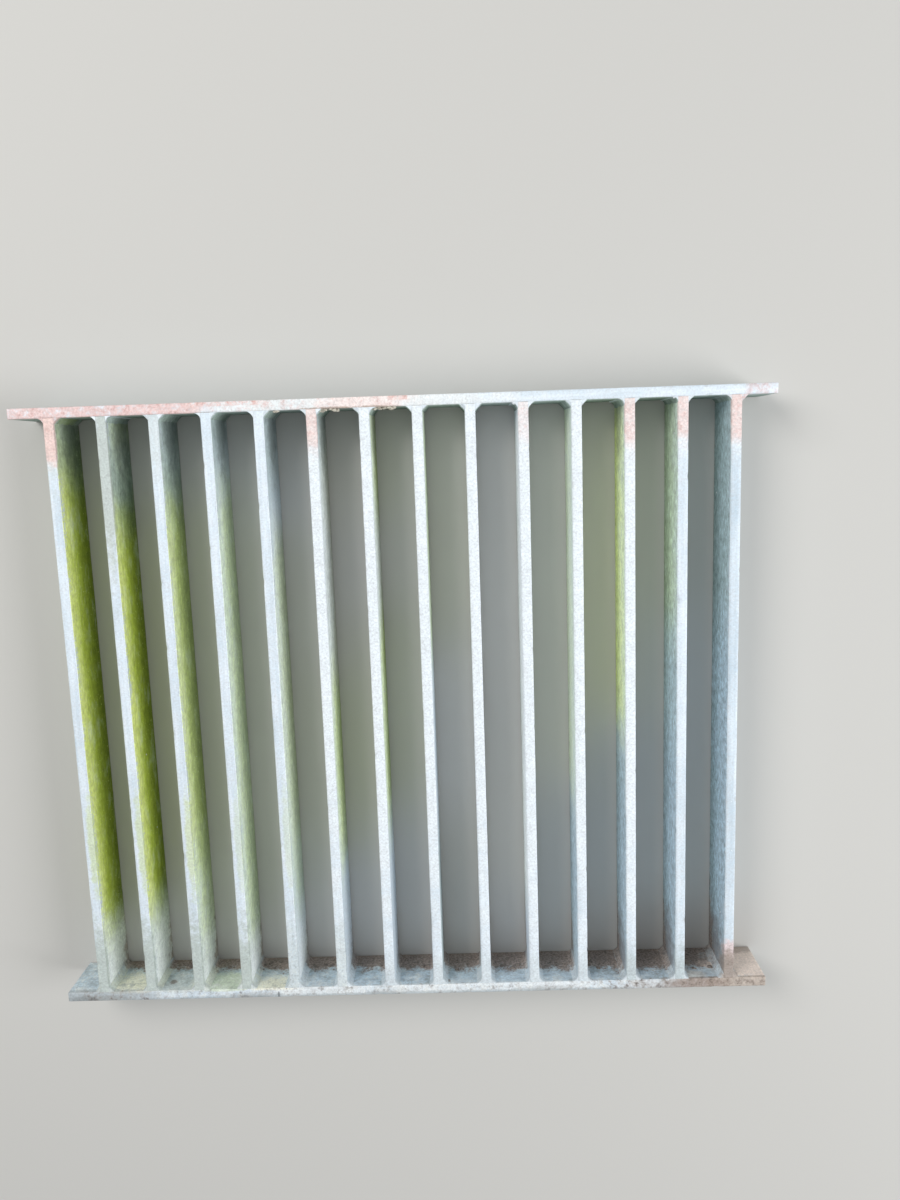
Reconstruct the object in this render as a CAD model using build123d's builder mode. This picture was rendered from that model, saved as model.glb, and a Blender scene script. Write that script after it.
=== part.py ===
"""One galvanised cattle grid panel: flat bars on edge, welded between two end plates.

The panel lies as it does over its pit. X runs along the end plates, Y along the
bars, Z up. The origin is on the ground under the middle of the panel.
All sizes are in millimetres.
"""
from build123d import *
import os

# Flat steel that the bars and the end plates are cut from
flat_depth = 90.0
bar_thickness = 15.0
plate_thickness = 15.0
rolled_edge_radius = 1.5

# Layout of the panel
bar_count = 14
bar_pitch = 75.0
bar_length = 885.0
plate_overhang = 50.0

# Sawn ends of the plates, with the burr taken off
plate_end_bevel = 1.0

# Fillet welds in the corners between the bars and the plates
weld_leg = 7.0
weld_crown = 0.7
weld_stop_margin = 1.5
weld_stop_bevel = 2.2

bar_span = (bar_count - 1) * bar_pitch
plate_length = bar_span + bar_thickness + 2 * plate_overhang
weld_setback = rolled_edge_radius + weld_stop_margin
weld_run = flat_depth - 2 * weld_setback
plate_centre_y = (bar_length + plate_thickness) / 2

os.makedirs("parts", exist_ok=True)


def bar_x(number):
    """X of the centre of a bar, counted from 1 at the -X end."""
    return (number - 1) * bar_pitch - bar_span / 2


# Bars: flats standing on edge, with rolled long edges and ends sawn square. The
# rolled edge of the plate leaves a thin groove across the end of each bar.
for number in range(1, bar_count + 1):
    with BuildPart() as bar:
        with BuildSketch(Plane.XZ.offset(-bar_length / 2)):
            with Locations((bar_x(number), flat_depth / 2)):
                RectangleRounded(bar_thickness, flat_depth, rolled_edge_radius)
        extrude(amount=bar_length)
    bar.part.label = f"bar_{number:02d}"
    export_step(bar.part, f"parts/{bar.part.label}.step")


# End plates: one flat along each row of bar ends, running on past the outer bars.
for side, side_name in ((-1, "near"), (1, "far")):
    with BuildPart() as end_plate:
        with BuildSketch(Plane.YZ.offset(-plate_length / 2)):
            with Locations((side * plate_centre_y, flat_depth / 2)):
                RectangleRounded(plate_thickness, flat_depth, rolled_edge_radius)
        extrude(amount=plate_length)
        sawn_rims = end_plate.faces().filter_by(Axis.X).edges()
        chamfer(sawn_rims, length=plate_end_bevel)
    end_plate.part.label = f"{side_name}_end_plate"
    export_step(end_plate.part, f"parts/{end_plate.part.label}.step")


# Welds: a slightly crowned fillet up both corners of every bar end, with its
# start and stop tapered short of the rolled edges. Each node holds one pair.
corner_y = bar_length / 2
for number in range(1, bar_count + 1):
    for side, side_name in ((-1, "near"), (1, "far")):
        with BuildPart() as weld:
            with BuildSketch(Plane.XY.offset(weld_setback)):
                for hand in (-1, 1):
                    corner = Vector(bar_x(number) + hand * bar_thickness / 2, side * corner_y)
                    toe_on_plate = corner + Vector(hand * weld_leg, 0)
                    toe_on_bar = corner + Vector(0, -side * weld_leg)
                    outward = Vector(hand, -side).normalized()
                    crown = (toe_on_plate + toe_on_bar) * 0.5 + outward * weld_crown
                    with BuildLine():
                        Line(toe_on_bar, corner)
                        Line(corner, toe_on_plate)
                        ThreePointArc(toe_on_plate, crown, toe_on_bar)
                    make_face()
            extrude(amount=weld_run)
            arcs = weld.edges().filter_by(GeomType.CIRCLE)
            chamfer(arcs, length=weld_stop_bevel)
        weld.part.label = f"{side_name}_weld_{number:02d}"
        export_step(weld.part, f"parts/{weld.part.label}.step")
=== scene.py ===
import math
import random

import bmesh
import bpy
from mathutils import Matrix, Vector, noise


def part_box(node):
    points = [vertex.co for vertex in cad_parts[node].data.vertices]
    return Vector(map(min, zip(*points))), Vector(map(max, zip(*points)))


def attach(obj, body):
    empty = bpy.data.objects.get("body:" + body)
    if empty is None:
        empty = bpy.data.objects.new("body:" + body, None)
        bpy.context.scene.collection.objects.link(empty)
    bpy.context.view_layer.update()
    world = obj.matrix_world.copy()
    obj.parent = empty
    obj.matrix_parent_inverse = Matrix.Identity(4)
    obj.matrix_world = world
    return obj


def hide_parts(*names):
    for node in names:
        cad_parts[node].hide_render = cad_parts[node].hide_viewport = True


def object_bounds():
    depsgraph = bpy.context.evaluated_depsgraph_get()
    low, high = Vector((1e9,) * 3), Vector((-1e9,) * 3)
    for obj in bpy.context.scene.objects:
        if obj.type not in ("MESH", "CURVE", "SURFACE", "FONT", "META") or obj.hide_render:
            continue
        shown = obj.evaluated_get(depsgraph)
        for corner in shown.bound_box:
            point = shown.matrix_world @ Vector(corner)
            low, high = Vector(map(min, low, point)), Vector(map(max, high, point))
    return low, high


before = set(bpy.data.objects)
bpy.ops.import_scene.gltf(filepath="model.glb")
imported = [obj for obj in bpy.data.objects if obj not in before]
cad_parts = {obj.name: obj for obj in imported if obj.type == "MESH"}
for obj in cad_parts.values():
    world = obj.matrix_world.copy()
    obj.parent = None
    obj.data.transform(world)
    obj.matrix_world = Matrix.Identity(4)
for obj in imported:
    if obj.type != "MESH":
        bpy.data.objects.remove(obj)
cad_low, cad_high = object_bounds()

# Camera
# Held at standing height above the far ends of the bars and tipped back towards the
# near plate, which is how the panel is seen in the photograph.
photo_height_px = 1200
focal_length_px = 925.7
sensor_width_mm = 36
camera_place = Vector((0.0996, 0.3746, 1.4212))
camera_forward = Vector((-0.01787, -0.15652, -0.98751)).normalized()
camera_up = Vector((0.03061, 0.98712, -0.15701))

camera_right = camera_forward.cross(camera_up).normalized()
camera_up = camera_right.cross(camera_forward)
turn = Matrix((camera_right, camera_up, -camera_forward)).transposed()
camera_data = bpy.data.cameras.new("camera")
camera_data.sensor_width = sensor_width_mm
camera_data.lens = focal_length_px / photo_height_px * sensor_width_mm
camera = bpy.data.objects.new("camera", camera_data)
camera.matrix_world = Matrix.Translation(camera_place) @ turn.to_4x4()
bpy.context.scene.collection.objects.link(camera)
bpy.context.scene.camera = camera
bpy.context.scene.view_settings.view_transform = "Standard"


# Studio
# A plain pale floor under soft even light: a high lamp on the left beyond the far
# plate and a lower one on the right. The pale backdrop is only what the camera and
# reflections see, so it adds no light to the panel.
floor_half_width = 3.0
floor_colour = (0.60, 0.59, 0.565, 1)
floor_roughness = 0.9
backdrop_colour = (0.82, 0.82, 0.81, 1)
sky_colour = (0.95, 0.98, 1.0, 1)
sky_strength = 0.36
lamps = (
    # name, place, width, power, colour
    ("key_lamp", (-2.3, 2.1, 3.2), 2.4, 108, (1.0, 0.99, 0.97)),
    ("fill_lamp", (3.4, -0.4, 2.6), 2.6, 112, (0.98, 0.99, 1.0)),
)


def add_node(tree, kind, inputs=None, **settings):
    """A shader node with its settings made and its sockets linked or given their values."""
    node = tree.nodes.new("ShaderNode" + kind)
    for key, value in settings.items():
        setattr(node, key, value)
    for key, value in (inputs or {}).items():
        if isinstance(value, bpy.types.NodeSocket):
            tree.links.new(value, node.inputs[key])
        else:
            node.inputs[key].default_value = value
    return node


def maths(tree, operation, *values, clamp=False):
    """The result of one Math node."""
    node = add_node(tree, "Math", dict(enumerate(values)), operation=operation)
    node.use_clamp = clamp
    return node.outputs[0]


def largest(tree, value, *others):
    """The largest of some values."""
    for other in others:
        value = maths(tree, "MAXIMUM", value, other)
    return value


def product(tree, value, *others, clamp=False):
    """The product of some values, kept between 0 and 1 where clamp is set."""
    for other in others[:-1]:
        value = maths(tree, "MULTIPLY", value, other)
    return maths(tree, "MULTIPLY", value, others[-1], clamp=clamp)


def blend_colours(tree, share, first, second, how="MIX"):
    """The colour between first and second, by share."""
    node = add_node(tree, "Mix", {0: share, 6: first, 7: second},
                    data_type="RGBA", blend_type=how)
    return node.outputs[2]


def new_material(name):
    """An empty node material, and its output node."""
    material = bpy.data.materials.new(name)
    material.use_nodes = True
    material.node_tree.nodes.clear()
    return material, material.node_tree.nodes.new("ShaderNodeOutputMaterial")


world = bpy.data.worlds.new("studio")
world.use_nodes = True
air = world.node_tree
air.nodes.clear()
rays = add_node(air, "LightPath").outputs
seen = largest(air, rays["Is Camera Ray"], rays["Is Glossy Ray"], rays["Is Transmission Ray"])
sky = add_node(air, "Background", {"Color": sky_colour, "Strength": sky_strength})
backdrop = add_node(air, "Background", {"Color": backdrop_colour, "Strength": 1.0})
either = add_node(air, "MixShader", {0: seen, 1: sky.outputs[0], 2: backdrop.outputs[0]})
add_node(air, "OutputWorld", {"Surface": either.outputs[0]})
bpy.context.scene.world = world

for lamp_name, place, width, power, colour in lamps:
    lamp_data = bpy.data.lights.new(lamp_name, "AREA")
    lamp_data.shape = "DISK"
    lamp_data.size = width
    lamp_data.energy = power
    lamp_data.color = colour
    lamp = bpy.data.objects.new(lamp_name, lamp_data)
    lamp.location = place
    lamp.rotation_euler = (-Vector(place)).to_track_quat("-Z", "Y").to_euler()
    bpy.context.scene.collection.objects.link(lamp)

bm = bmesh.new()
bmesh.ops.create_grid(bm, x_segments=1, y_segments=1, size=floor_half_width)
floor_mesh = bpy.data.meshes.new("floor")
bm.to_mesh(floor_mesh)
bm.free()
floor = bpy.data.objects.new("floor", floor_mesh)
floor_finish, floor_output = new_material("floor_paint")
paint = add_node(floor_finish.node_tree, "BsdfPrincipled",
                 {"Base Color": floor_colour, "Roughness": floor_roughness})
floor_finish.node_tree.links.new(paint.outputs[0], floor_output.inputs["Surface"])
floor_mesh.materials.append(floor_finish)
bpy.context.scene.collection.objects.link(floor)


# Bars
# Solid flat steel standing on edge, galvanised after welding. The coat has gone
# dull and cloudy, algae grows down the sheltered sides, and the walking edge is
# nicked by wheels and hooves.
edge_radius = 0.0015
edge_segments = 3
width_cuts = 3
depth_cuts = 9
slice_length = 0.003
coat_wave, wave_grain = 0.00016, 38
coat_ripple, ripple_grain = 0.00005, 210
grain_shift = (7.3, 3.1, 5.7)
nicks_per_metre = 9
nick_reaches = (0.003, 0.008)
nick_depths = (0.0003, 0.0011)
nick_free_ends = 0.03
smooth_below = math.radians(50)


def on_screen(red, green, blue):
    """A colour from its 0 to 255 values on screen."""
    return tuple(((value / 255 + 0.055) / 1.055) ** 2.4 for value in (red, green, blue)) + (1,)


# Zinc: new and dulled, worn on the edges where it is also a painted highlight, bleached and also a
# painted highlight, a painted shade line beside the edges, and dark where it has pinholes
zinc_bright = on_screen(233, 242, 250)
zinc_shade = on_screen(187, 203, 215)
zinc_worn_and_highlight = on_screen(240, 245, 247)
bleached_zinc_and_highlight = on_screen(236, 242, 246)
edge_shade_line = on_screen(150, 162, 170)
pin_speck = on_screen(104, 110, 112)
bloom_white = on_screen(230, 234, 232)
bloom_grey = on_screen(158, 166, 166)

# Rust printed on by other steel, dried soil, and dirt that is trodden in
rust_wash = on_screen(240, 216, 208)
rust_pink = on_screen(228, 194, 188)
rust_deep = on_screen(204, 150, 140)
soil_brown = on_screen(178, 157, 143)
soil_dark = on_screen(112, 93, 82)
soil_splash = on_screen(186, 174, 160)
trodden_pale = on_screen(152, 138, 128)
trodden_dark = on_screen(92, 80, 73)

# What grows or settles on a side: its colour at the walking edge, half way down, and at the foot,
# and how blotchy it is. Slate also stands for painted shade under the far plate and on the far
# welds; chalk and straw also stand for painted light on sides that face the light.
film_kinds = {
    "moss": ((226, 235, 152), (174, 190, 70), (114, 130, 22), 1.3),
    "sage": ((232, 243, 218), (212, 225, 166), (158, 172, 98), 1.7),
    "straw_and_light": ((230, 243, 218), (236, 246, 200), (216, 228, 150), 1.5),
    "dust": ((238, 242, 240), (220, 222, 212), (166, 160, 134), 1.7),
    "chalk_and_light": ((244, 248, 250), (244, 248, 247), (238, 242, 236), 0.8),
    "slate_and_shade": ((176, 193, 184), (144, 161, 150), (100, 120, 106), 2.0),
    "steel": ((186, 204, 215), (180, 201, 212), (166, 186, 190), 2.6),
}
film_below_edge = 0.05
film_feather = 0.06

# The soil on the near plate's inner face: its line at the left, and how it climbs to the right
plate_soil_from_x, plate_soil_line, plate_soil_climb = -0.4425, 0.030, 0.038


def parallel_edges(bm, axis):
    """The edges that run along one axis."""
    return [e for e in bm.edges if abs((e.verts[1].co - e.verts[0].co).normalized()[axis]) > 0.999]


def rolled_flat(low, high, along):
    """A flat bar between two corners: a cut block whose long edges are rolled round."""
    size = high - low
    across = [axis for axis in (0, 1, 2) if axis != along]
    bm = bmesh.new()
    bmesh.ops.create_cube(bm, size=1.0)
    bmesh.ops.scale(bm, vec=size, verts=bm.verts)
    bmesh.ops.translate(bm, vec=(low + high) / 2, verts=bm.verts)
    bmesh.ops.bevel(bm, geom=parallel_edges(bm, along), offset=edge_radius, segments=edge_segments,
                    profile=0.5, affect="EDGES", material=-1)
    for axis in across:
        cuts = width_cuts if size[axis] < size[3 - along - axis] else depth_cuts
        wide = [e for e in parallel_edges(bm, axis) if e.calc_length() > size[axis] / 2]
        bmesh.ops.subdivide_edges(bm, edges=wide, cuts=cuts)
    slices = round(size[along] / slice_length)
    bmesh.ops.subdivide_edges(bm, edges=parallel_edges(bm, along), cuts=slices - 1)
    return bm


def wave_coat(bm, seed):
    """Gives the zinc skin its slight unevenness."""
    bm.normal_update()
    shift = Vector([seed * step for step in grain_shift])
    moves = []
    for vert in bm.verts:
        slow = noise.noise((vert.co + shift) * wave_grain)
        quick = noise.noise((vert.co + shift) * ripple_grain)
        moves.append(vert.normal * (coat_wave * slow + coat_ripple * quick))
    for vert, move in zip(bm.verts, moves):
        vert.co += move


def nick_edges(bm, low, high, along, rng):
    """Dents the two long edges at the walking surface, where wheels and hooves strike."""
    length = high[along] - low[along]
    cross = 1 - along
    centre = (low + high) / 2
    for _ in range(round(nicks_per_metre * length)):
        place = centre.copy()
        place[along] = low[along] + length * rng.uniform(nick_free_ends, 1 - nick_free_ends)
        place[cross] = rng.choice((low[cross], high[cross]))
        place.z = high.z
        reach = rng.uniform(*nick_reaches)
        depth = rng.uniform(*nick_depths)
        inward = centre - place
        inward[along] = 0
        inward.z = -abs(inward[cross])
        inward.normalize()
        for vert in bm.verts:
            if abs(vert.co[along] - place[along]) < reach:
                share = 1 - ((vert.co - place).length / reach) ** 2
                if share > 0:
                    vert.co += inward * depth * share * share


def finished_piece(name, bm, material, slot, *nodes):
    """Makes the mesh an object that rides on the panel, and hides the given nodes, if any, whose
    place it takes.
    """
    mesh = bpy.data.meshes.new(name)
    bm.to_mesh(mesh)
    bm.free()
    mesh.shade_smooth()
    mesh.set_sharp_from_angle(angle=smooth_below)
    mesh.materials.append(material)
    piece = bpy.data.objects.new(name, mesh)
    bpy.context.scene.collection.objects.link(piece)
    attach(piece, "root")
    if nodes:
        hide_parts(*nodes)


# The sockets of the shader groups that hold a vector or a colour. All others hold one value.
vector_sockets = ("Position", "Normal", "Centre", "Reach")
colour_sockets = ("Color", "Shade", "Edge", "Middle", "Foot")


def new_group(name, inputs, outputs):
    """A shader group with its sockets, as the group, its inputs and its outputs."""
    group = bpy.data.node_groups.new(name, "ShaderNodeTree")
    for way, sockets in (("INPUT", inputs), ("OUTPUT", outputs)):
        for socket in sockets:
            kind = "NodeSocketVector" if socket in vector_sockets else "NodeSocketFloat"
            kind = "NodeSocketColor" if socket in colour_sockets else kind
            group.interface.new_socket(socket, in_out=way, socket_type=kind)
    given = group.nodes.new("NodeGroupInput").outputs
    result = group.nodes.new("NodeGroupOutput").inputs
    return group, given, result


def ramp(tree, value, start, end, low=0.0, high=1.0):
    """A smooth step of value from low at start to high at end."""
    node = add_node(tree, "MapRange", {0: value, 1: start, 2: end, 3: low, 4: high},
                    interpolation_type="SMOOTHSTEP")
    return node.outputs[0]


def grain(tree, position, scale, detail, roughness, stretch=(1, 1, 1)):
    """Noise of so many grains a metre, drawn out along an axis whose stretch is under 1."""
    place = add_node(tree, "Mapping", {"Vector": position, "Scale": stretch}).outputs[0]
    fractal = {"Vector": place, "Scale": scale, "Detail": detail, "Roughness": roughness}
    return add_node(tree, "TexNoise", fractal).outputs["Fac"]


def xyz_of(tree, vector):
    """The three parts of a vector."""
    return add_node(tree, "SeparateXYZ", {0: vector}).outputs


def vector_maths(tree, operation, *vectors):
    """The result of one step with vectors."""
    node = add_node(tree, "VectorMath", dict(enumerate(vectors)), operation=operation)
    return node.outputs["Value" if operation == "LENGTH" else "Vector"]


def weighted(tree, *parts, base=None):
    """The sum of values, each times its weight, on top of the base."""
    total = base
    for value, weight in parts:
        if total is None:
            total = maths(tree, "MULTIPLY", value, weight)
        else:
            total = maths(tree, "MULTIPLY_ADD", value, weight, total)
    return total


def about_nought(tree, value):
    """Noise that runs from 0 to 1, moved so that its middle is 0."""
    return maths(tree, "SUBTRACT", value, 0.5)


def delivered(tree, result, **values):
    """The group, once each value is linked to the socket that hands it out."""
    for socket, value in values.items():
        tree.links.new(value, result[socket])
    return tree


def zinc_group():
    """Dulled zinc: cloudy patches, grain drawn along the flat, pale flecks and dark pin specks."""
    tree, given, result = new_group(
        "dulled_zinc", ("Position", "Shade", "Dulling"), ("Color", "Roughness", "Height", "Tone"))
    position = given["Position"]
    clouds = grain(tree, position, 11, 5, 0.6)
    patches = grain(tree, position, 75, 5, 0.6)
    drawn = grain(tree, position, 170, 4, 0.6, (1, 0.05, 1))
    fine = grain(tree, position, 310, 3, 0.65)
    dull = weighted(tree, (clouds, 0.9), (patches, 1.0), (drawn, 1.1), (fine, 0.8))
    mostly_bright = -1.62
    dull = maths(tree, "ADD", dull, mostly_bright)
    share = maths(tree, "ADD", dull, given["Dulling"], clamp=True)
    colour = blend_colours(tree, share, zinc_bright, given["Shade"])
    flecks = ramp(tree, grain(tree, position, 330, 1, 0.5), 0.70, 0.78, high=0.6)
    colour = blend_colours(tree, flecks, colour, zinc_worn_and_highlight)
    specks = ramp(tree, grain(tree, position, 610, 1, 0.5), 0.72, 0.80, high=0.55)
    return delivered(
        tree, result,
        Color=blend_colours(tree, specks, colour, pin_speck),
        Roughness=weighted(tree, (fine, 0.2), (clouds, 0.25), base=0.36),
        Height=weighted(tree, (fine, 0.18), (patches, 0.5), (flecks, 0.35), (specks, -0.5)),
        Tone=weighted(tree, (patches, 0.35), (fine, 0.8), base=0.40))


def edge_group():
    """The rolled edge: worn pale where it turns, which is also a painted highlight, with a fine
    line of painted shade where it meets the flat.
    """
    tree, given, result = new_group("rolled_edge", ("Position", "Normal"), ("Worn", "Line"))
    square_on = largest(tree, *xyz_of(tree, vector_maths(tree, "ABSOLUTE", given["Normal"])))
    broken = ramp(tree, grain(tree, given["Position"], 60, 5, 0.65), 0.36, 0.6)
    worn_and_highlight = product(tree, ramp(tree, square_on, 0.96, 0.80), broken)
    gapped = ramp(tree, grain(tree, given["Position"], 34, 4, 0.6), 0.42, 0.62)
    begun = ramp(tree, square_on, 0.999, 0.985)
    # The fine dark line is painted shade where the rolled edge meets the flat
    line = product(tree, begun, ramp(tree, square_on, 0.90, 0.96), gapped)
    return delivered(tree, result, Worn=worn_and_highlight, Line=line)


def film_group():
    """A film down one side of a flat: over a stretch of its length, deepening towards the foot."""
    tree, given, result = new_group(
        "graded_film",
        ("Position", "Normal", "Side", "From", "To", "Strength", "Mottle",
         "Edge", "Middle", "Foot"),
        ("Color", "Mask"))
    position = given["Position"]
    place = xyz_of(tree, position)
    streaks = grain(tree, position, 120, 5, 0.62, (1, 0.07, 1))
    mottle = grain(tree, position, 42, 5, 0.65, (1, 0.45, 1))
    fine = grain(tree, position, 310, 3, 0.68)

    # how far down the side, from 0 at the walking edge to 1 at the foot, made ragged
    depth = weighted(tree, (place[2], -1 / cad_high.z), base=1.0)
    ragged = weighted(tree, (about_nought(tree, mottle), 0.5), (about_nought(tree, streaks), 0.25),
                      (about_nought(tree, fine), 0.55), base=depth)
    colour = blend_colours(tree, ramp(tree, ragged, 0.02, 0.48), given["Edge"], given["Middle"])
    colour = blend_colours(tree, ramp(tree, ragged, 0.38, 1.0), colour, given["Foot"])
    flecks = ramp(tree, grain(tree, position, 240, 2, 0.55), 0.64, 0.74, high=0.6)
    colour = blend_colours(tree, flecks, colour, given["Edge"])
    blotches = about_nought(tree, grain(tree, position, 150, 5, 0.72, (1, 0.55, 1)))
    uneven = weighted(tree, (blotches, given["Mottle"]), base=1.0)

    # where it lies: on the side that it is for, below the walking edge, between its two ends
    facing = ramp(tree, product(tree, xyz_of(tree, given["Normal"])[0], given["Side"]), 0.45, 0.95)
    begun = ramp(tree, ragged, -0.06, film_below_edge)
    wander = weighted(tree, (grain(tree, position, 9, 5, 0.62), 0.16), base=-0.08)
    along = maths(tree, "ADD", place[1], wander)
    start = ramp(tree, maths(tree, "SUBTRACT", along, given["From"]), -film_feather, film_feather)
    stop = ramp(tree, maths(tree, "SUBTRACT", given["To"], along), -film_feather, film_feather)
    thin = ramp(tree, mottle, 0.28, 0.5, low=0.72)
    between = product(tree, start, stop)
    mask = product(tree, facing, begun, between, thin, given["Strength"], clamp=True)
    colour = blend_colours(tree, 1.0, colour, uneven, "MULTIPLY")
    return delivered(tree, result, Color=colour, Mask=mask)


def patch_group():
    """One ragged stain about a centre, with a reach along each axis."""
    tree, given, result = new_group(
        "ragged_patch", ("Position", "Centre", "Reach", "Grain", "Strength"), ("Mask",))
    away = vector_maths(tree, "SUBTRACT", given["Position"], given["Centre"])
    away = vector_maths(tree, "LENGTH", vector_maths(tree, "DIVIDE", away, given["Reach"]))
    fractal = {"Vector": given["Position"], "Scale": given["Grain"],
               "Detail": 6.0, "Roughness": 0.68}
    coarse = add_node(tree, "TexNoise", fractal).outputs["Fac"]
    ragged = weighted(tree, (coarse, 1.5), base=maths(tree, "SUBTRACT", away, 0.75))
    mask = product(tree, ramp(tree, ragged, 1.05, 0.45), given["Strength"], clamp=True)
    return delivered(tree, result, Mask=mask)


def print_group():
    """What was pressed on by something that lay here: a band with ragged ends, in blotches."""
    tree, given, result = new_group(
        "blotchy_print", ("Position", "Centre", "Reach", "Cover"), ("Mask", "Deep"))
    position = given["Position"]
    away = vector_maths(tree, "SUBTRACT", position, given["Centre"])
    away = vector_maths(tree, "DIVIDE", vector_maths(tree, "ABSOLUTE", away), given["Reach"])
    furthest = largest(tree, *xyz_of(tree, away))
    coarse = grain(tree, position, 70, 5, 0.65)
    inside = ramp(tree, weighted(tree, (coarse, 0.5), base=furthest), 1.32, 1.14)
    speckle = weighted(tree, (grain(tree, position, 140, 6, 0.72), 0.75), (coarse, 0.45))
    cover = weighted(tree, (given["Cover"], 0.4), base=speckle)
    mask = product(tree, inside, ramp(tree, cover, 0.70, 1.04))
    return delivered(tree, result, Mask=mask, Deep=ramp(tree, speckle, 0.62, 0.80))


def corner_dirt_shade_group():
    """Dirt and painted shade in corners, laid by ambient occlusion: what lies close beside another
    surface.
    """
    tree, given, result = new_group("corner_dirt_and_shade", ("Position", "Distance", "Strength"), ("Mask",))
    open_air = add_node(tree, "AmbientOcclusion", {"Distance": given["Distance"]}, samples=6)
    # Low ambient occlusion marks the corners: dirt there, and painted shade
    occluded = ramp(tree, open_air.outputs["AO"], 0.70, 0.30)
    ragged = ramp(tree, grain(tree, given["Position"], 110, 6, 0.7), 0.34, 0.62)
    return delivered(tree, result, Mask=product(tree, occluded, ragged, given["Strength"], clamp=True))


def soil_group():
    """Dried soil below a ragged line that climbs as Y falls, with a paler splashed fringe."""
    tree, given, result = new_group(
        "soil_line", ("Position", "Line", "Climb"), ("Mask", "Fringe", "Tone"))
    position = given["Position"]
    place = xyz_of(tree, position)
    from_plate = maths(tree, "SUBTRACT", place[1], near_face)
    fall = product(tree, given["Climb"], -1.0)
    line = maths(tree, "MULTIPLY_ADD", from_plate, fall, given["Line"])
    coarse = grain(tree, position, 48, 6, 0.66)
    crumbs = grain(tree, position, 260, 5, 0.7)
    above = weighted(tree, (about_nought(tree, coarse), 0.075), (about_nought(tree, crumbs), 0.030),
                     base=maths(tree, "SUBTRACT", place[2], line))
    splash = ramp(tree, crumbs, 0.46, 0.60)
    return delivered(
        tree, result,
        Mask=ramp(tree, above, 0.006, -0.010),
        Fringe=product(tree, ramp(tree, above, 0.022, 0.0), splash),
        Tone=ramp(tree, crumbs, 0.36, 0.62))


def crust_group():
    """Pale crusty zinc bloom over grey, thickening towards the near plate where the panel stood."""
    tree, given, result = new_group(
        "zinc_bloom", ("Position", "From", "Strength", "Grain"), ("Mask", "Dark"))
    position = given["Position"]
    along = xyz_of(tree, position)[1]
    wander = weighted(tree, (grain(tree, position, 12, 4, 0.6), 0.22), base=along)
    none_past = maths(tree, "ADD", given["From"], 0.15)
    full_below = maths(tree, "ADD", given["From"], 0.02)
    near = ramp(tree, wander, none_past, full_below)
    blotch = grain(tree, position, given["Grain"], 6, 0.72)
    return delivered(
        tree, result,
        Mask=product(tree, near, ramp(tree, blotch, 0.46, 0.62), given["Strength"], clamp=True),
        Dark=product(tree, near, ramp(tree, blotch, 0.47, 0.34), given["Strength"], clamp=True))


near_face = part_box("near_end_plate")[1].y
dulled_zinc = zinc_group()
rolled_edge = edge_group()
graded_film = film_group()
ragged_patch = patch_group()
blotchy_print = print_group()
corner_dirt_and_shade = corner_dirt_shade_group()
soil_line = soil_group()
zinc_bloom = crust_group()


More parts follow.
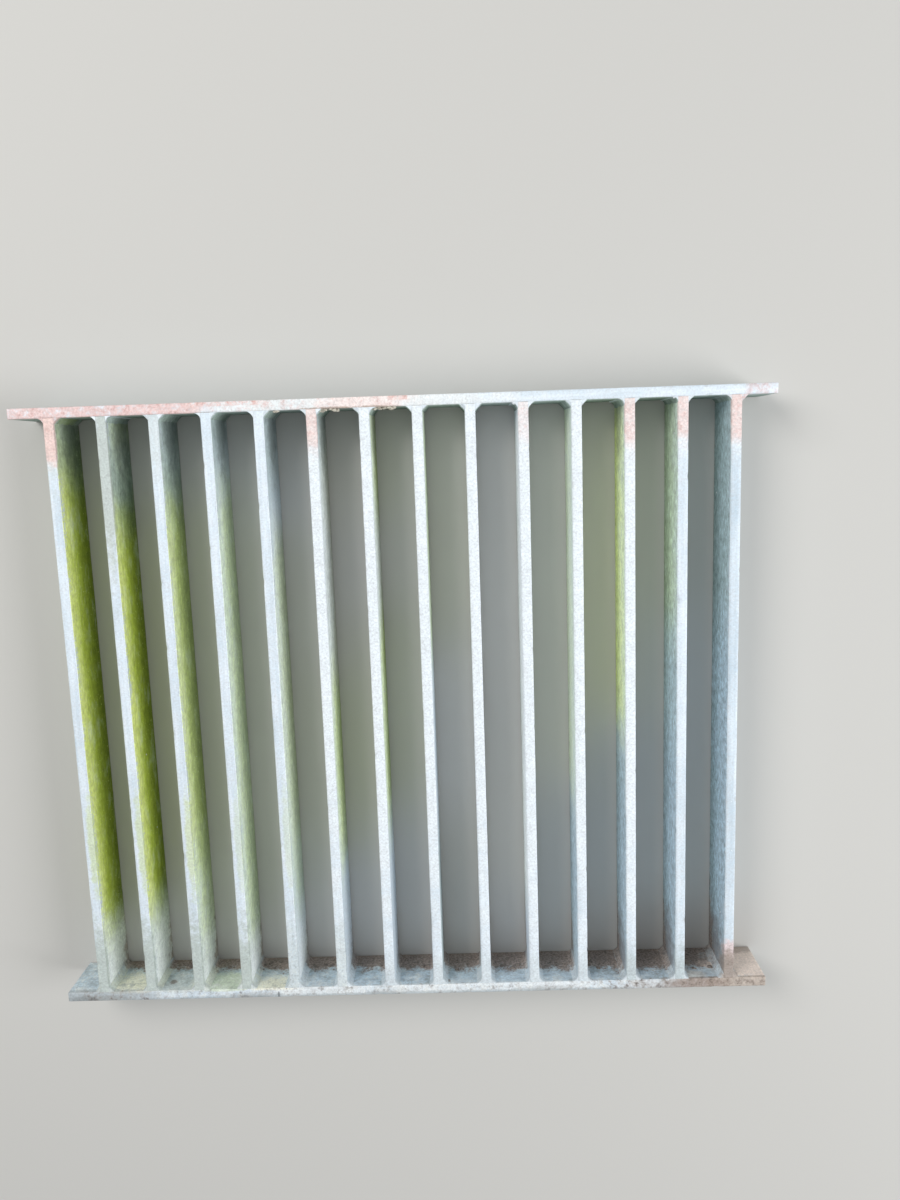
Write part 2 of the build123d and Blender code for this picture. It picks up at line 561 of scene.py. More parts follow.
class Finish:
    """Galvanised steel that films and stains are laid over, one after the other."""

    def __init__(self, name, along=1, dulling=0.0, shade=zinc_shade):
        self.material, self.output = new_material(name)
        self.tree = self.material.node_tree
        self.place = add_node(self.tree, "TexCoord").outputs["Object"]
        self.facing = add_node(self.tree, "NewGeometry").outputs["Normal"]
        self.position = self.swapped(self.place) if along == 0 else self.place
        self.normal = self.swapped(self.facing) if along == 0 else self.facing
        zinc = self.use(dulled_zinc, {"Shade": shade, "Dulling": dulling})
        self.colour, self.rough, self.height = zinc["Color"], zinc["Roughness"], zinc["Height"]
        self.tone = zinc["Tone"]
        edge = self.use(rolled_edge)
        # Rolled edges: pale wear that is also a painted highlight, and a painted shade line where
        # they meet the flat
        self.lay(product(self.tree, edge["Worn"], 0.6), zinc_worn_and_highlight, rough=0.36)
        self.lay(product(self.tree, edge["Line"], 0.35), edge_shade_line, rough=0.5)

    def swapped(self, vector):
        """The vector with X and Y exchanged, so that a plate's length runs as a bar's does."""
        x, y, z = xyz_of(self.tree, vector)
        return add_node(self.tree, "CombineXYZ", {0: y, 1: x, 2: z}).outputs[0]

    def use(self, group, values=None, position=None):
        """Places a group in the material and gives it its own values."""
        node = add_node(self.tree, "Group", node_tree=group)
        self.tree.links.new(position or self.position, node.inputs["Position"])
        if "Normal" in node.inputs:
            self.tree.links.new(self.normal, node.inputs["Normal"])
        for key, value in (values or {}).items():
            node.inputs[key].default_value = value
        return node.outputs

    def lay(self, mask, colour, rough, lift=0.0):
        """Lays one colour and roughness over what is there."""
        self.colour = blend_colours(self.tree, mask, self.colour, colour)
        level = add_node(self.tree, "Mix", {0: mask, 2: self.rough, 3: rough})
        self.rough = level.outputs[0]
        if lift:
            self.height = maths(self.tree, "MULTIPLY_ADD", mask, lift, self.height)

    def film(self, kind, side, start, end, strength):
        """A film on the side that faces side, +1 or -1, from start to end along the flat."""
        *colours, mottle = film_kinds[kind]
        values = {"Side": side, "From": start, "To": end, "Strength": strength, "Mottle": mottle}
        for socket, colour in zip(("Edge", "Middle", "Foot"), colours):
            values[socket] = on_screen(*colour)
        grown = self.use(graded_film, values)
        self.lay(grown["Mask"], grown["Color"], rough=0.78, lift=0.2)

    def stain(self, centre, reach, colour, strength, grains):
        """One ragged stain about a place, with so many grains a metre in its outline."""
        values = {"Centre": centre, "Reach": reach, "Grain": grains, "Strength": strength}
        mask = self.use(ragged_patch, values, self.place)["Mask"]
        self.lay(mask, colour, rough=0.85, lift=0.15)

    def rust(self, centre, reach, cover, share=0.85, light=rust_pink, dark=rust_deep):
        """Rust printed on by other steel, in blotches that close up as cover nears 1."""
        values = {"Centre": centre, "Reach": reach, "Cover": cover}
        printed = self.use(blotchy_print, values, self.place)
        tone = blend_colours(self.tree, printed["Deep"], light, dark)
        self.lay(product(self.tree, printed["Mask"], share), tone, rough=0.8, lift=0.12)

    def dirt(self, centre, reach, cover):
        """Dirt trodden in, in the same blotches."""
        self.rust(centre, reach, cover, 0.7, trodden_pale, trodden_dark)

    def bloom(self, start, strength, grains=150.0):
        """Crusty bloom that sets in below start along Y."""
        values = {"From": start, "Strength": strength, "Grain": grains}
        crust = self.use(zinc_bloom, values, self.place)
        self.lay(crust["Mask"], bloom_white, rough=0.75, lift=0.3)
        self.lay(crust["Dark"], bloom_grey, rough=0.7)

    def lay_soil(self, mask, tone):
        """Lays dried soil that goes from dark to brown by its tone."""
        self.lay(mask, blend_colours(self.tree, tone, soil_dark, soil_brown), rough=0.95, lift=0.5)

    def soil(self, line, climb, strength):
        """Dried soil up to a line, with its splashed fringe."""
        dried = self.use(soil_line, {"Line": line, "Climb": climb}, self.place)
        self.lay(product(self.tree, dried["Fringe"], 0.4), soil_splash, rough=0.9, lift=0.2)
        self.lay_soil(product(self.tree, dried["Mask"], strength), dried["Tone"])

    def plate_soil(self):
        """Soil dried on what faces the bays, rising to the right. The plate's ends stay bare."""
        tree = self.tree
        values = {"Line": plate_soil_line, "Climb": -plate_soil_climb}
        dried = self.use(soil_line, values, self.swapped(self.place))
        bare_ends = []
        for end_x in (cad_low.x, cad_high.x):
            values = {"Centre": (end_x, cad_low.y, 0.045), "Reach": (0.085, 0.05, 0.09),
                      "Grain": 40, "Strength": 1.0}
            bare_ends.append(self.use(ragged_patch, values, self.place)["Mask"])
        inward = ramp(tree, xyz_of(tree, self.facing)[1], 0.2, 0.8)
        most = 0.85
        kept = maths(tree, "SUBTRACT", most, largest(tree, *bare_ends))
        self.lay_soil(product(tree, dried["Mask"], kept, inward, clamp=True), dried["Tone"])

    def dirt_and_shade(self, strength, distance=0.02):
        """Dirt and painted shade in the corners, within a distance of the next surface."""
        occluded = self.use(corner_dirt_and_shade, {"Strength": strength, "Distance": distance})["Mask"]
        # Soil brown over the corners: dirt and painted shade
        self.lay(occluded, soil_brown, rough=0.9, lift=0.2)

    def done(self, bump=0.35):
        """Joins what has been laid into the steel's shader and gives the material."""
        relief = {"Strength": bump, "Distance": 0.0006, "Height": self.height}
        relief = add_node(self.tree, "Bump", relief).outputs[0]
        toned = blend_colours(self.tree, 1.0, self.colour, self.tone, "MULTIPLY")
        values = {"Base Color": toned, "Roughness": self.rough, "Metallic": 0.2, "Normal": relief}
        steel = add_node(self.tree, "BsdfPrincipled", values)
        self.tree.links.new(steel.outputs[0], self.output.inputs["Surface"])
        return self.material


# The films on the shown side of each bar, from the left: kind, start and end along Y, and strength.
# Bars 1 to 8 show their right sides and the others their left. Their hidden sides carry the same
# films, only thinner.
# Slate near the far plate is partly painted shade under it; chalk on bars 9 and 10 and straw on
# bars 11 and 12 are partly painted light on their left sides.
bar_films = (
    (("sage", -0.42, -0.20, 0.8), ("moss", -0.35, 0.46, 1.0), ("slate_and_shade", 0.36, 0.50, 0.65)),
    (("sage", -0.46, -0.25, 0.5), ("moss", -0.33, 0.35, 1.0), ("slate_and_shade", 0.29, 0.50, 0.85),
     ("sage", 0.41, 0.50, 0.6)),
    (("sage", -0.40, 0.34, 0.75), ("moss", -0.24, 0.33, 0.6), ("slate_and_shade", 0.31, 0.50, 0.75)),
    (("sage", -0.40, 0.34, 0.7), ("slate_and_shade", 0.37, 0.50, 0.6)),
    (("dust", -0.20, 0.28, 0.5), ("sage", -0.34, 0.26, 0.5), ("slate_and_shade", 0.33, 0.50, 0.5)),
    (("dust", 0.00, 0.42, 0.7), ("sage", -0.26, 0.04, 0.85), ("slate_and_shade", 0.38, 0.50, 0.4)),
    (("dust", 0.06, 0.42, 0.7), ("sage", 0.28, 0.50, 0.7), ("sage", -0.20, 0.14, 0.9)),
    (("sage", 0.08, 0.45, 0.6), ("slate_and_shade", -0.44, -0.20, 0.5)),
    (("chalk_and_light", -0.30, 0.45, 0.8),),
    (("chalk_and_light", -0.34, 0.45, 0.9),),
    (("straw_and_light", -0.16, 0.46, 0.5), ("steel", -0.45, -0.16, 0.8)),
    (("straw_and_light", -0.04, 0.46, 1.0), ("steel", -0.45, -0.05, 0.85)),
    (("steel", -0.45, 0.50, 0.9), ("sage", 0.11, 0.50, 0.5)),
    (("steel", -0.45, 0.50, 1.0), ("slate_and_shade", 0.10, 0.46, 0.35)),
)
right_shown_bars = range(1, 9)
other_side_share = 0.4
bar_dulling, last_bar_dulling = 0.05, 0.35

# Crusty bloom at the near ends, on the left bars and the rest: where it sets in, and its strength
left_bars = range(1, 7)
left_bloom, right_bloom = (-0.33, 0.65), (-0.38, 0.4)

# Walking edges whitened over their length by a painted highlight, and sides with chalk at their
# near ends
highlighted_bars = range(6, 13)
chalked_bars = range(1, 6)

# Soft veils on three walking edges: strength, middle along Y, and half length
edge_veil = on_screen(190, 198, 190)
edge_veils = {1: (0.45, 0.43, 0.10), 2: (0.75, 0.36, 0.19), 3: (0.35, 0.43, 0.10)}

# Algae that has crept over the arris of the mossy bars, and how strongly
crept_green = on_screen(204, 216, 160)
crept_shares = {1: 0.6, 2: 0.6, 3: 0.6, 4: 0.3, 5: 0.3}

# Grey at the ends of the sides: darker grey low down at the near end, and painted shade under the
# far plate at the far end
near_end_grey = on_screen(128, 124, 126)
far_end_shade_grey = on_screen(92, 100, 96)
near_end_grey_bars = (12, 13, 14)
far_end_shaded_bars = (1, 2, 3, 4, 5, 6, 7, 12)

# The veil over the near end of each walking edge: bars, half length, strength and colour
mossy_veil = on_screen(184, 194, 187)
foot_veils = (
    ((1, 2, 3, 4), 0.14, 0.8, mossy_veil),
    ((5, 6), 0.14, 0.3, mossy_veil),
    ((7, 8, 9, 10, 11), 0.060, 0.55, on_screen(203, 212, 216)),
    ((12, 13, 14), 0.075, 0.75, on_screen(190, 201, 203)),
)

# For each bar that has rust printed on its far end: how far the print reaches, and how full it is
rust_printed_bars = {1: (0.062, 1.0), 6: (0.055, 0.70), 10: (0.050, 0.40), 12: (0.062, 0.66),
                     13: (0.055, 0.70), 14: (0.062, 0.75)}

# The outer corner of the last bar's foot: faint rust, and trodden soil over it
foot_rust = on_screen(232, 212, 212)
foot_soil = on_screen(164, 150, 141)

# Soil dried on the feet of the bars, a little higher on each bar to the right
bar_soil_line, bar_soil_rise = 0.016, 0.0013


def lay_bar_films(finish, number):
    """The films on one bar's sides, and the bloom at its near end."""
    side = 1 if number in right_shown_bars else -1
    for kind, start, end, strength in bar_films[number - 1]:
        finish.film(kind, side, start, end, strength)
        finish.film(kind, -side, start, end, strength * other_side_share)
    finish.bloom(*(left_bloom if number in left_bars else right_bloom))


def tone_walking_edge(finish, number, middle, top):
    """What whitens with a painted highlight, veils or greens the length of one bar's walking edge.
    """
    if number in highlighted_bars:
        # Painted highlight whitening the walking edges of the middle bars
        finish.stain((middle, 0.30, top), (0.03, 0.85, 0.007), bleached_zinc_and_highlight, 0.8, 25)
    if number in edge_veils:
        strength, veil_y, half_length = edge_veils[number]
        finish.stain((middle, veil_y, top), (0.014, half_length, 0.010), edge_veil, strength, 60)
    if number in crept_shares:
        strength = crept_shares[number]
        finish.stain((middle + 0.004, -0.20, top), (0.008, 0.10, 0.008), crept_green, strength, 60)


def tone_bar_ends(finish, number, middle, low, high):
    """What pales or greys the two ends of one bar; the grey at the far end is painted shade under
    the far plate.
    """
    if number in chalked_bars:
        finish.film("chalk_and_light", 1, -0.47, -0.375, 0.8)
    # Darker grey low on the sides at the near end
    if number in near_end_grey_bars:
        finish.stain((middle, low.y, 0.042), (0.03, 0.11, 0.052), near_end_grey, 0.7, 60)
    # Painted shade on the sides under the far plate
    if number in far_end_shaded_bars:
        finish.stain((middle, high.y, 0.040), (0.03, 0.11, 0.045), far_end_shade_grey, 0.45, 50)
    for bars, half_length, strength, tint in foot_veils:
        if number in bars:
            finish.stain((middle, low.y, high.z), (0.03, half_length, 0.012), tint, strength, 60)


def print_bar_rust(finish, middle, high, reach, cover):
    """Rust printed on a bar's far end: bleached under it, then a faint wash, then the blotches."""
    finish.stain((middle, high.y, high.z), (0.03, 0.09, 0.007), bleached_zinc_and_highlight, 0.7, 60)
    wash_y = high.y - 0.3 * reach
    finish.stain((middle, wash_y, high.z), (0.03, reach, 0.007), rust_wash, 0.8 * cover, 45)
    finish.rust((middle, high.y, high.z), (0.012, reach, 0.004), cover, 0.45)


def mark_last_foot(finish, middle, low, top):
    """Faint rust, soil and dirt at the foot of the last bar."""
    finish.stain((middle, low.y + 0.046, top), (0.02, 0.020, 0.02), foot_rust, 0.8, 120)
    finish.stain((middle, low.y + 0.010, top), (0.03, 0.045, 0.04), foot_soil, 0.9, 110)
    finish.dirt((middle, low.y + 0.010, top), (0.012, 0.040, 0.005), 0.45)


bar_names = sorted(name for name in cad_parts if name.startswith("bar_"))
last_bar = len(bar_names)
for number, node in enumerate(bar_names, start=1):
    low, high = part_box(node)
    middle = (low.x + high.x) / 2
    finish = Finish(f"{node}_zinc", dulling=last_bar_dulling if number == last_bar else bar_dulling)
    lay_bar_films(finish, number)
    tone_walking_edge(finish, number, middle, high.z)
    tone_bar_ends(finish, number, middle, low, high)
    if number in rust_printed_bars:
        print_bar_rust(finish, middle, high, *rust_printed_bars[number])
    if number == last_bar:
        mark_last_foot(finish, middle, low, high.z)
    finish.soil(line=bar_soil_line + bar_soil_rise * number, climb=0.30, strength=0.65)
    finish.dirt_and_shade(0.5)
    bm = rolled_flat(low, high, 1)
    wave_coat(bm, number)
    nick_edges(bm, low, high, 1, random.Random(number))
    finished_piece(f"{node}_flat", bm, finish.done(), "galvanised_bar", node)


# End plates
# The same flat steel across the bar ends, sawn square and welded to every bar.
# The far one is printed pink with rust, and the near one has stood in soil, which
# has dried on its inner face.
plate_end_bevel = 0.001
plate_start, plate_end = -0.60, 0.60


def sawn_ends(bm, low, high):
    """Takes the burr off the rims of both ends."""
    rims = [e for e in bm.edges if len(e.link_faces) == 2 and e.calc_face_angle() > 1.2
            and min(abs(e.verts[0].co.x - low.x), abs(e.verts[0].co.x - high.x)) < 1e-6]
    bmesh.ops.bevel(bm, geom=rims, offset=plate_end_bevel, segments=2, profile=0.5,
                    affect="EDGES", material=-1)


def finished_plate(node, low, high, finish, seed):
    """Makes the mesh of one end plate and shows it in its finish."""
    bm = rolled_flat(low, high, 0)
    sawn_ends(bm, low, high)
    wave_coat(bm, seed)
    nick_edges(bm, low, high, 0, random.Random(seed))
    finished_piece(f"{node}_flat", bm, finish.done(), "galvanised_plate", node)


far_low, far_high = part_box("far_end_plate")
far_middle = (far_low.y + far_high.y) / 2
far_top = far_high.z

# Along its walking edge, from the left: x, y, half length, half width, half depth, cover and share
far_rust_prints = (
    (-0.45, far_middle, 0.19, 0.012, 0.006, 1.0, 0.80),
    (-0.235, far_high.y, 0.055, 0.0065, 0.005, 0.7, 0.85),
    (-0.19, far_middle, 0.075, 0.012, 0.005, 0.50, 0.5),
    (-0.045, far_middle + 0.002, 0.064, 0.008, 0.005, 0.45, 0.6),
    (0.011, far_high.y, 0.014, 0.006, 0.005, 0.9, 0.85),
    (0.53, far_middle, 0.032, 0.012, 0.008, 0.75, 0.45),
)
finish = Finish("far_end_plate_zinc", along=0)
# Slate on the inner face below the walking edge: grime and painted shade
finish.film("slate_and_shade", -1, plate_start, plate_end, 0.9)
finish.film("steel", 1, plate_start, plate_end, 0.7)
finish.stain((-0.06, far_middle, far_top), (0.30, 0.02, 0.010), on_screen(240, 241, 238), 0.6, 45)
finish.stain((-0.035, far_middle, far_top), (0.085, 0.02, 0.008), on_screen(246, 226, 220), 0.6, 60)
for x, y, *reach, cover, share in far_rust_prints:
    finish.rust((x, y, far_top), reach, cover, share)
for x, half_length, strength in ((-0.09, 0.055, 0.8), (-0.02, 0.040, 0.75)):
    below_rim = (x, far_low.y, far_top - 0.002)
    finish.stain(below_rim, (half_length, 0.0035, 0.008), soil_brown, strength, 140)
finish.dirt_and_shade(0.7)
finished_plate("far_end_plate", far_low, far_high, finish, seed=21)

near_low, near_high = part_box("near_end_plate")
near_middle = (near_low.y + near_high.y) / 2
near_top = near_high.z

# On its inner face, bay by bay: x, z, half length, half width, half depth, strength and colour
near_bay_tints = (
    (-0.450, 0.076, 0.050, 0.005, 0.050, 0.85, (244, 242, 220)),
    (-0.375, 0.076, 0.050, 0.005, 0.050, 0.70, (196, 204, 202)),
    (-0.300, 0.076, 0.050, 0.005, 0.050, 0.85, (212, 223, 200)),
    (-0.225, 0.080, 0.050, 0.005, 0.034, 0.90, (240, 238, 218)),
    (0.430, 0.080, 0.030, 0.006, 0.020, 0.60, (206, 192, 176)),
)
# At its right end, over the soil: centre, reach, strength, grains and colour. First the bare
# inner face and the soil at its foot, then its walking edge from the end inwards.
near_end_tints = (
    ((0.53, near_face, 0.050), (0.075, 0.006, 0.060), 0.9, 60, (242, 226, 214)),
    ((0.53, near_face, 0.004), (0.060, 0.006, 0.018), 0.8, 60, (186, 172, 162)),
    ((0.51, near_middle, near_top), (0.085, 0.02, 0.006), 0.95, 60, (198, 186, 175)),
    ((0.435, near_middle, near_top), (0.050, 0.012, 0.006), 0.85, 70, (170, 155, 148)),
    ((0.36, near_middle, near_top), (0.050, 0.010, 0.006), 0.6, 90, (206, 205, 204)),
)
# Small dull spots on its walking edge: x and strength
near_dull_spots = ((-0.49, 0.5), (-0.25, 0.4), (-0.04, 0.2), (0.21, 0.3))

# Dirt trodden into its walking edge: x, half length and cover
near_dirt = (
    (0.0, 0.56, 0.34), (-0.47, 0.06, 0.38), (0.33, 0.07, 0.50), (0.44, 0.055, 0.85),
    (0.51, 0.060, 0.65),
)

# Single marks: a thin scratch across the walking edge, a crack beside a weld, two dark pits,
# and a grey smear. Centre, reach, colour, strength and grains.
near_marks = (
    ((-0.213, near_middle - 0.003, near_top), (0.0022, 0.006, 0.004), pin_speck, 0.8, 200),
    ((-0.2005, near_face, 0.075), (0.0016, 0.004, 0.030), soil_dark, 0.8, 150),
    ((-0.385, near_face, 0.066), (0.0070, 0.004, 0.008), soil_dark, 0.7, 190),
    ((0.052, near_face, 0.080), (0.0060, 0.004, 0.006), soil_dark, 0.7, 190),
    ((-0.52, near_middle - 0.004, near_top), (0.030, 0.006, 0.004), pin_speck, 0.3, 160),
)
finish = Finish("near_end_plate_zinc", along=0, dulling=0.22)
finish.film("steel", 1, plate_start, plate_end, 0.6)
finish.film("steel", -1, plate_start, plate_end, 0.9)
for x, z, *reach, strength, tint in near_bay_tints:
    finish.stain((x, near_face, z), reach, on_screen(*tint), strength, 55)
finish.bloom(-0.40, 0.8, grains=60.0)
pale_patch = on_screen(238, 240, 239)
for x in (-0.14, 0.03, 0.20):
    finish.stain((x, near_middle, near_top), (0.11, 0.02, 0.006), pale_patch, 0.5, 110)
# Painted shade along the outer rim of the walking edge, where the rolled edge turns away
finish.stain((0, near_low.y, near_top), (0.75, 0.006, 0.020), on_screen(168, 178, 182), 0.6, 90)
finish.stain((-0.50, near_middle, near_top), (0.11, 0.02, 0.012), on_screen(172, 179, 182), 0.8, 70)
finish.plate_soil()
for centre, reach, strength, grains, tint in near_end_tints:
    finish.stain(centre, reach, on_screen(*tint), strength, grains)
dull_spot = on_screen(150, 152, 150)
for x, strength in near_dull_spots:
    spot = (x, near_middle - 0.003, near_top)
    finish.stain(spot, (0.055, 0.006, 0.004), dull_spot, strength, 190)
for x, half_length, cover in near_dirt:
    finish.dirt((x, near_middle, near_top), (half_length, 0.010, 0.005), cover)
for mark in near_marks:
    finish.stain(*mark)
finish.dirt_and_shade(0.8)
finished_plate("near_end_plate", near_low, near_high, finish, seed=22)


# Welds
# One fillet up each corner between a bar and a plate, laid by hand and coated over
# with zinc, which has smoothed its ripples and run into the groove at the bar's end.
weld_leg = 0.0073
arc_points = 8
seat_depth = 0.0004
weld_top_gap = 0.0006
weld_foot_gap = 0.0024
bead_slices = 62

# How the bead wanders: fine ripples, swells that come and go, and rounded ends
ripple_length = 0.0038
ripple_height = 0.00022
ripple_bow = 0.55
long_swell, long_swell_grain = 0.14, 70
short_swell, short_swell_grain = 0.05, 260
round_over = 0.0016
end_size, end_growth = 0.84, 0.16

groove_fill_width = 0.0017
groove_fill_depth = 0.005
groove_fill_gap = 0.0008
groove_fill_overlap = 0.0004
groove_fill_sunk = 0.3


def weld_bead(bm, corner, hand, inward, bottom, top, size, crown, rng):
    """Adds one fillet: its section is extruded up the corner, then swelled slice by slice."""
    section = [bm.verts.new((u, -seat_depth, 0)) for u in (-seat_depth, weld_leg)]
    for step in range(arc_points + 1):
        share = step / arc_points
        bulge = crown * 4 * share * (1 - share) / math.sqrt(2)
        section.append(bm.verts.new((weld_leg * (1 - share) + bulge, weld_leg * share + bulge, 0)))
    section.append(bm.verts.new((-seat_depth, weld_leg, 0)))
    face = bm.faces.new(section)
    made = list(section)
    rise = Vector((0, 0, (top - bottom) / bead_slices))
    for _ in range(bead_slices):
        grown = bmesh.ops.extrude_face_region(bm, geom=[face])["geom"]
        verts = [g for g in grown if isinstance(g, bmesh.types.BMVert)]
        bmesh.ops.translate(bm, vec=rise, verts=verts)
        old, face = face, next(g for g in grown if isinstance(g, bmesh.types.BMFace))
        if len(made) > len(section):  # only the first face, the bead's foot, is kept
            bm.faces.remove(old)
        made += verts
    phase, drift = rng.uniform(0, 10), rng.uniform(0, 50)
    for vert in made:
        u, v, height = vert.co
        across = (math.atan2(max(v, 0), max(u, 1e-6))) / (math.pi / 2)
        bowed = height / ripple_length + ripple_bow * math.sin(math.pi * across) + phase
        ripple = abs(math.sin(math.pi * bowed))
        swell = noise.noise(Vector((drift, height * long_swell_grain, 0))) * long_swell
        swell += noise.noise(Vector((0, drift, height * short_swell_grain))) * short_swell
        end = min(height, (top - bottom) - height) / round_over
        taper = end_size + end_growth * math.sqrt(max(0, 1 - (1 - min(end, 1)) ** 2))
        scale = size * taper * (1 + swell) + ripple_height * ripple / weld_leg
        if u > 0:
            u *= scale
        if v > 0:
            v *= scale
        vert.co = Vector((corner.x + hand * u, corner.y + inward * v, bottom + height))


def groove_fill(bm, low, high, plate_y, inward):
    """Adds the zinc that has run into the groove between the bar's end and the plate."""
    size = Vector((high.x - low.x + groove_fill_overlap, groove_fill_width, groove_fill_depth))
    centre = Vector(((low.x + high.x) / 2, plate_y - inward * groove_fill_width * groove_fill_sunk,
                     high.z - groove_fill_gap - groove_fill_depth / 2))
    made = bmesh.ops.create_cube(bm, size=1.0)["verts"]
    bmesh.ops.scale(bm, vec=size, verts=made)
    bmesh.ops.translate(bm, vec=centre, verts=made)


# A bead's face slants halfway round from its bar's side, so a film's side counts for more on it
weld_face_turn = 1.6
weld_shade = on_screen(184, 194, 198)
weld_dirt_shade_reach = 0.012
weld_bump = 0.45
finish = Finish("far_weld_zinc", shade=weld_shade)
# Slate over both faces of each bead, deepening downwards: grime and painted shade
for side in (-weld_face_turn, weld_face_turn):
    finish.film("slate_and_shade", side, plate_start, plate_end, 0.9)
finish.stain((-0.475, far_low.y, 0.050), (0.022, 0.02, 0.040), on_screen(140, 156, 96), 0.7, 90)
for x, cover in ((-0.49, 0.9), (0.49, 0.6)):
    finish.rust((x, far_low.y, far_top), (0.020, 0.014, 0.006), cover)
finish.dirt_and_shade(0.6, weld_dirt_shade_reach)
far_weld_zinc = finish.done(weld_bump)

# Over the near welds: centre, reach, strength and colour. First the paler left ones, then the
# tops of all of them, then those in the soil at the right end.
near_weld_tints = (
    ((-0.45, near_face, near_top), (0.17, 0.03, 0.012), 0.8, (186, 195, 193)),
    ((0.10, near_face, near_top), (0.75, 0.03, 0.012), 0.5, (204, 212, 216)),
    ((0.50, near_face, near_top), (0.030, 0.02, 0.030), 0.9, (176, 163, 153)),
)
finish = Finish("near_weld_zinc", shade=weld_shade)
for side in (-weld_face_turn, weld_face_turn):
    finish.film("steel", side, plate_start, plate_end, 0.35)
finish.bloom(-0.40, 0.4)
left_pale = on_screen(222, 226, 210)
finish.stain((-0.38, near_face, 0.070), (0.19, 0.03, 0.06), left_pale, 0.75, 90)
finish.plate_soil()
for centre, reach, strength, tint in near_weld_tints:
    finish.stain(centre, reach, on_screen(*tint), strength, 90)
finish.dirt_and_shade(0.25, weld_dirt_shade_reach)
near_weld_zinc = finish.done(weld_bump)

# For each row: its material, how large its beads are, and how far they stand out or sink in
weld_rows = {
    "far": (far_weld_zinc, (0.95, 1.35), (-0.0018, 0.0001)),
    "near": (near_weld_zinc, (0.85, 1.15), (-0.0017, -0.0001)),
}
for node in sorted(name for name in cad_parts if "_weld_" in name):
    row, _, bar_number = node.split("_")
    material, sizes, crowns = weld_rows[row]
    bar_low, bar_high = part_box(f"bar_{bar_number}")
    inward, plate_y = (1, bar_low.y) if row == "near" else (-1, bar_high.y)
    rng = random.Random(node)
    bm = bmesh.new()
    for hand, face_x in ((-1, bar_low.x), (1, bar_high.x)):
        weld_bead(bm, Vector((face_x, plate_y, 0)), hand, inward, bar_low.z + weld_foot_gap,
                  bar_high.z - weld_top_gap, rng.uniform(*sizes), rng.uniform(*crowns), rng)
    groove_fill(bm, bar_low, bar_high, plate_y, inward)
    bmesh.ops.recalc_face_normals(bm, faces=bm.faces)
    finished_piece(f"{node}_bead", bm, material, "galvanised_weld", node)


# Lumps
# What sticks to the steel: pale crusts under the far plate's edge, blobs of zinc
# left by the bath, and crumbs of dried soil along the near plate.


def add_lump(bm, place, size, rng, squash):
    """Adds one small uneven lump, half sunk in the surface that it sticks to."""
    made = bmesh.ops.create_icosphere(bm, subdivisions=2, radius=size)["verts"]
    shift = Vector((rng.uniform(0, 90), rng.uniform(0, 90), rng.uniform(0, 90)))
    for vert in made:
        swell = 1 + 0.32 * noise.noise(vert.co / size * 0.9 + shift)
        swell += 0.12 * noise.noise(vert.co / size * 2.4 + shift)
        vert.co = Vector(a * b * swell for a, b in zip(vert.co, squash))
    bmesh.ops.translate(bm, vec=Vector(place), verts=made)


def lump_finish(name, light, dark, grains, bump):
    """A crumbly surface in two tones, given by their values on screen."""
    material, output = new_material(name)
    tree = material.node_tree
    position = add_node(tree, "TexCoord").outputs["Object"]
    coarse = grain(tree, position, grains, 6, 0.7)
    fine = grain(tree, position, grains * 4, 4, 0.7)
    share = ramp(tree, weighted(tree, (fine, 0.4), base=coarse), 0.52, 0.82)
    colour = blend_colours(tree, share, on_screen(*dark), on_screen(*light))
    rough = weighted(tree, (coarse, 0.2), base=0.72)
    relief = add_node(tree, "Bump", {"Strength": bump, "Distance": 0.0006, "Height": fine})
    values = {"Base Color": colour, "Roughness": rough, "Normal": relief.outputs[0]}
    surface = add_node(tree, "BsdfPrincipled", values)
    tree.links.new(surface.outputs[0], output.inputs["Surface"])
    return material


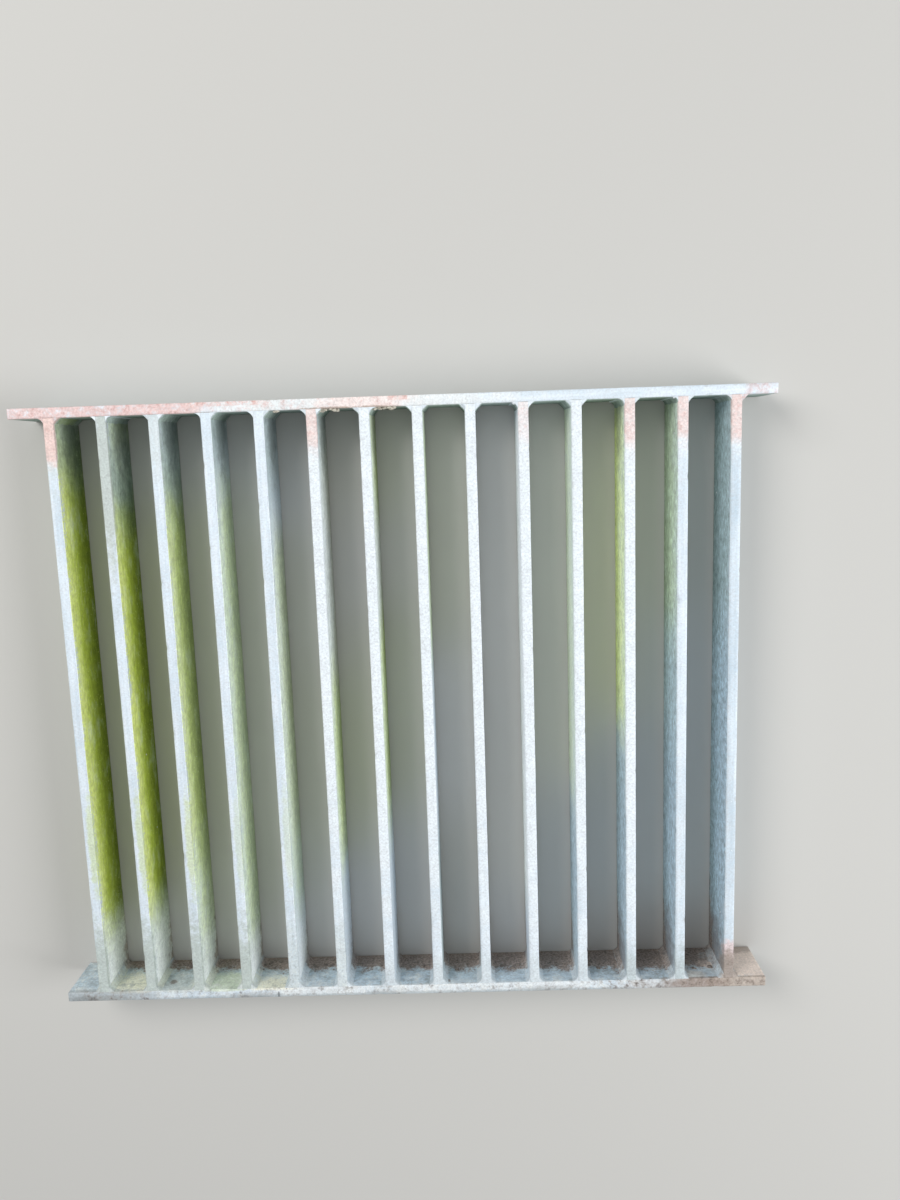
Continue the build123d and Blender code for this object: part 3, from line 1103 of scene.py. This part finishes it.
# Crusts: where along the far plate they start and end, and how many there are
crust_stretches = ((-0.104, -0.068, 16), (-0.029, 0.006, 20), (-0.183, -0.160, 5))
crust_material = lump_finish("pale_crust", (226, 222, 208), (150, 138, 122), 300, 0.6)
rng = random.Random(5)
bm = bmesh.new()
for start, end, count in crust_stretches:
    for _ in range(count):
        place = (rng.uniform(start, end), far_low.y + rng.uniform(-0.0024, 0.0012),
                 far_top - rng.uniform(0.0020, 0.010))
        add_lump(bm, place, rng.uniform(0.0014, 0.0036), rng, (1.2, 0.9, 0.8))
finished_piece("far_plate_crust", bm, crust_material, "galvanised_plate")

# Zinc: a few larger blobs beside the far ends of some bars, and specks on the sides of all
blobbed_bars = (3, 4, 8, 10, 10, 11, 13)
speck_count = 70
speck_free_ends = 0.03
blob_material = lump_finish("zinc_blob", (234, 238, 240), (196, 204, 208), 240, 0.2)
rng = random.Random(9)
bm = bmesh.new()
for number in blobbed_bars:
    low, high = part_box(bar_names[number - 1])
    hand = rng.choice((-1, 1))
    face_x = low.x if hand < 0 else high.x
    place = (face_x + hand * rng.uniform(0.001, 0.006), far_low.y - rng.uniform(0.0005, 0.003),
             high.z - rng.uniform(0.002, 0.004))
    add_lump(bm, place, rng.uniform(0.0013, 0.0024), rng, (1, 1, 0.8))
for _ in range(speck_count):
    low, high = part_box(rng.choice(bar_names))
    hand = rng.choice((-1, 1))
    face_x = low.x if hand < 0 else high.x
    place = (face_x, rng.uniform(low.y + speck_free_ends, high.y - speck_free_ends),
             rng.uniform(0.01, high.z - 0.004))
    add_lump(bm, place, rng.uniform(0.0005, 0.0012), rng, (0.6, 1.3, 1))
finished_piece("zinc_blobs", bm, blob_material, "galvanised_weld")

# Soil: crumbs below the line that the soil on the near plate has, clear of the bars and welds
crumb_tries = 120
half_bar = 0.0075
soil_material = lump_finish("dried_soil", (150, 140, 132), (96, 88, 82), 260, 0.8)
rng = random.Random(14)
bm = bmesh.new()
for _ in range(crumb_tries):
    x = rng.uniform(-0.47, 0.47)
    line = plate_soil_line + plate_soil_climb * (x - plate_soil_from_x)
    place = (x, near_face + 0.0004, line - abs(rng.gauss(0, 0.022)))
    nearest_bar = min(abs(x - (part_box(name)[0].x + half_bar)) for name in bar_names)
    if place[2] > 0.006 and nearest_bar > 0.014:
        add_lump(bm, place, rng.uniform(0.0012, 0.0036), rng, (1.1, 0.7, 1))
finished_piece("near_plate_soil", bm, soil_material, "galvanised_plate")
